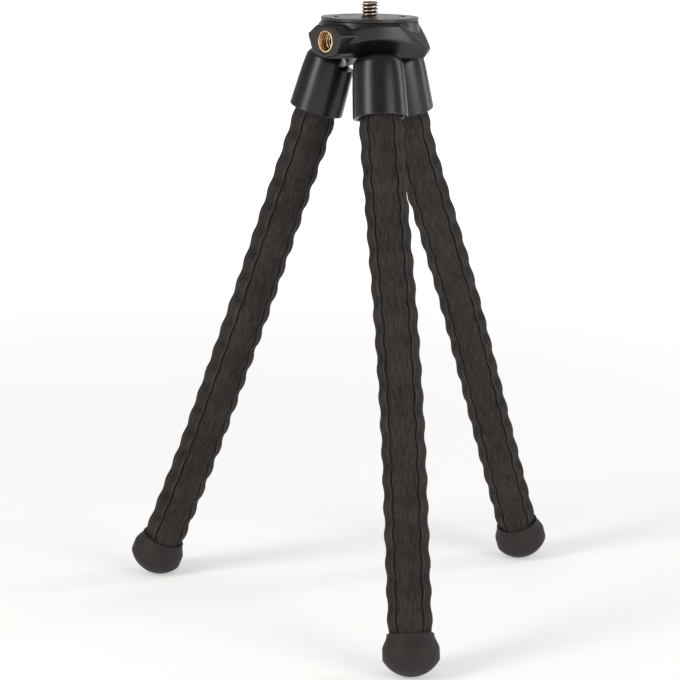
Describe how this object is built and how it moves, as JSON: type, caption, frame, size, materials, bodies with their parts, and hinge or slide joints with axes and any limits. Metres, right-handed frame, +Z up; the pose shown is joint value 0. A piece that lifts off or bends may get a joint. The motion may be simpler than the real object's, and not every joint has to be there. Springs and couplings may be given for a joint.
{
  "type": "flexible leg tripod",
  "caption": "Small camera tripod: a lobed hub with a threaded camera stud, and hinged legs of bendable wavy rubber on domed feet.",
  "frame": {"origin": "middle of the platform's top face, where the camera stud comes out", "axes": "+Z up along the camera stud, -Y towards the front leg, the threaded side insert faces -X and -Y at 60 degrees from the front leg"},
  "size_m": [0.17, 0.1567, 0.2291],
  "materials": {
    "hub_plastic": "satin",
    "platform_plastic": "satin",
    "socket_plastic": "satin",
    "sleeve_rubber": "matte",
    "foot_rubber": "matte",
    "stud_steel": "polished",
    "insert_brass": "polished",
    "hinge_steel": "satin",
    "core_wire": "satin"
  },
  "bodies": {
    "hub": {"hub_body": "hub_plastic", "platform_disc": "platform_plastic", "camera_stud": "stud_steel", "side_insert": "insert_brass", "hinge_spider": "hinge_steel", "spider_screw": "hinge_steel"},
    "front_socket_end": {"front_socket": "socket_plastic", "front_hinge_fork": "hinge_steel", "front_hinge_pin": "hinge_steel", "front_sleeve_0": "sleeve_rubber", "front_core_0": "core_wire"},
    "front_section_1": {"front_sleeve_1": "sleeve_rubber", "front_core_1": "core_wire"},
    "front_section_2": {"front_sleeve_2": "sleeve_rubber", "front_core_2": "core_wire"},
    "front_section_3": {"front_sleeve_3": "sleeve_rubber", "front_core_3": "core_wire"},
    "front_section_4": {"front_sleeve_4": "sleeve_rubber", "front_core_4": "core_wire"},
    "front_section_5": {"front_sleeve_5": "sleeve_rubber", "front_core_5": "core_wire", "front_foot": "foot_rubber"},
    "right_socket_end": {"right_socket": "socket_plastic", "right_hinge_fork": "hinge_steel", "right_hinge_pin": "hinge_steel", "right_sleeve_0": "sleeve_rubber", "right_core_0": "core_wire"},
    "right_section_1": {"right_sleeve_1": "sleeve_rubber", "right_core_1": "core_wire"},
    "right_section_2": {"right_sleeve_2": "sleeve_rubber", "right_core_2": "core_wire"},
    "right_section_3": {"right_sleeve_3": "sleeve_rubber", "right_core_3": "core_wire"},
    "right_section_4": {"right_sleeve_4": "sleeve_rubber", "right_core_4": "core_wire"},
    "right_section_5": {"right_sleeve_5": "sleeve_rubber", "right_core_5": "core_wire", "right_foot": "foot_rubber"},
    "left_socket_end": {"left_socket": "socket_plastic", "left_hinge_fork": "hinge_steel", "left_hinge_pin": "hinge_steel", "left_sleeve_0": "sleeve_rubber", "left_core_0": "core_wire"},
    "left_section_1": {"left_sleeve_1": "sleeve_rubber", "left_core_1": "core_wire"},
    "left_section_2": {"left_sleeve_2": "sleeve_rubber", "left_core_2": "core_wire"},
    "left_section_3": {"left_sleeve_3": "sleeve_rubber", "left_core_3": "core_wire"},
    "left_section_4": {"left_sleeve_4": "sleeve_rubber", "left_core_4": "core_wire"},
    "left_section_5": {"left_sleeve_5": "sleeve_rubber", "left_core_5": "core_wire", "left_foot": "foot_rubber"}
  },
  "joints": [
    {"name": "front_hinge", "type": "hinge", "parent": "hub", "child": "front_socket_end", "pos_m": [0, -0.0092, -0.0166], "axis": [-1, 0, 0], "range_deg": [-15.8, 0.7]},
    {"name": "front_bend_1_in_out", "type": "hinge", "parent": "front_socket_end", "child": "front_section_1", "pos_m": [0, -0.02306, -0.04464], "axis": [1, 0, 0], "range_deg": [-31.8, 48.2]},
    {"name": "front_bend_2_sideways", "type": "hinge", "parent": "front_section_1", "child": "front_section_2", "pos_m": [0, -0.03495, -0.07136], "axis": [0, -0.9135, 0.4067], "range_deg": [-40.2, 39.8]},
    {"name": "front_bend_3_in_out", "type": "hinge", "parent": "front_section_2", "child": "front_section_3", "pos_m": [0.00014, -0.05082, -0.10698], "axis": [-1, -0.0014, -0.0032], "range_deg": [-34.6, 45.4]},
    {"name": "front_bend_4_sideways", "type": "hinge", "parent": "front_section_3", "child": "front_section_4", "pos_m": [0.00027, -0.06326, -0.14395], "axis": [0.0003, -0.9478, 0.319], "range_deg": [-38.4, 41.6]},
    {"name": "front_bend_5_in_out", "type": "hinge", "parent": "front_section_4", "child": "front_section_5", "pos_m": [-0.00068, -0.07569, -0.1809], "axis": [-0.9997, 0.0075, 0.0233], "range_deg": [-40.6, 39.4]},
    {"name": "right_hinge", "type": "hinge", "parent": "hub", "child": "right_socket_end", "pos_m": [0.00797, 0.0046, -0.0166], "axis": [0.5, -0.866, 0], "range_deg": [-12.9, 3.6]},
    {"name": "right_bend_1_in_out", "type": "hinge", "parent": "right_socket_end", "child": "right_section_1", "pos_m": [0.01872, 0.01081, -0.0453], "axis": [-0.5, 0.866, 0], "range_deg": [-29.8, 50.2]},
    {"name": "right_bend_2_sideways", "type": "hinge", "parent": "right_section_1", "child": "right_section_2", "pos_m": [0.02866, 0.01655, -0.07221], "axis": [0.7966, 0.4599, 0.3923], "range_deg": [-40.5, 39.5]},
    {"name": "right_bend_3_in_out", "type": "hinge", "parent": "right_section_2", "child": "right_section_3", "pos_m": [0.04174, 0.02449, -0.10808], "axis": [0.5029, -0.8643, -0.008], "range_deg": [-37.2, 42.8]},
    {"name": "right_bend_4_sideways", "type": "hinge", "parent": "right_section_3", "child": "right_section_4", "pos_m": [0.05329, 0.03155, -0.14465], "axis": [0.812, 0.4693, 0.3469], "range_deg": [-40, 40]},
    {"name": "right_bend_5_in_out", "type": "hinge", "parent": "right_section_4", "child": "right_section_5", "pos_m": [0.06484, 0.03861, -0.18123], "axis": [0.5029, -0.8643, -0.008], "range_deg": [-40.6, 39.4]},
    {"name": "left_hinge", "type": "hinge", "parent": "hub", "child": "left_socket_end", "pos_m": [-0.00797, 0.0046, -0.0166], "axis": [0.5, 0.866, 0], "range_deg": [-16.4, 0.1]},
    {"name": "left_bend_1_in_out", "type": "hinge", "parent": "left_socket_end", "child": "left_section_1", "pos_m": [-0.02022, 0.01167, -0.04449], "axis": [-0.5, -0.866, 0], "range_deg": [-36.8, 43.2]},
    {"name": "left_bend_2_sideways", "type": "hinge", "parent": "left_section_1", "child": "left_section_2", "pos_m": [-0.02872, 0.01658, -0.07204], "axis": [-0.8158, 0.471, 0.3355], "range_deg": [-37.4, 42.6]},
    {"name": "left_bend_3_in_out", "type": "hinge", "parent": "left_section_2", "child": "left_section_3", "pos_m": [-0.03915, 0.02465, -0.10875], "axis": [0.5127, 0.8575, 0.0427], "range_deg": [-41, 39]},
    {"name": "left_bend_4_sideways", "type": "hinge", "parent": "left_section_3", "child": "left_section_4", "pos_m": [-0.05014, 0.03303, -0.14522], "axis": [-0.8111, 0.4673, 0.3518], "range_deg": [-41.3, 38.7]},
    {"name": "left_bend_5_in_out", "type": "hinge", "parent": "left_section_4", "child": "left_section_5", "pos_m": [-0.06158, 0.04066, -0.18171], "axis": [0.5061, 0.8622, 0.0215], "range_deg": [-42.5, 37.5]}
  ]
}
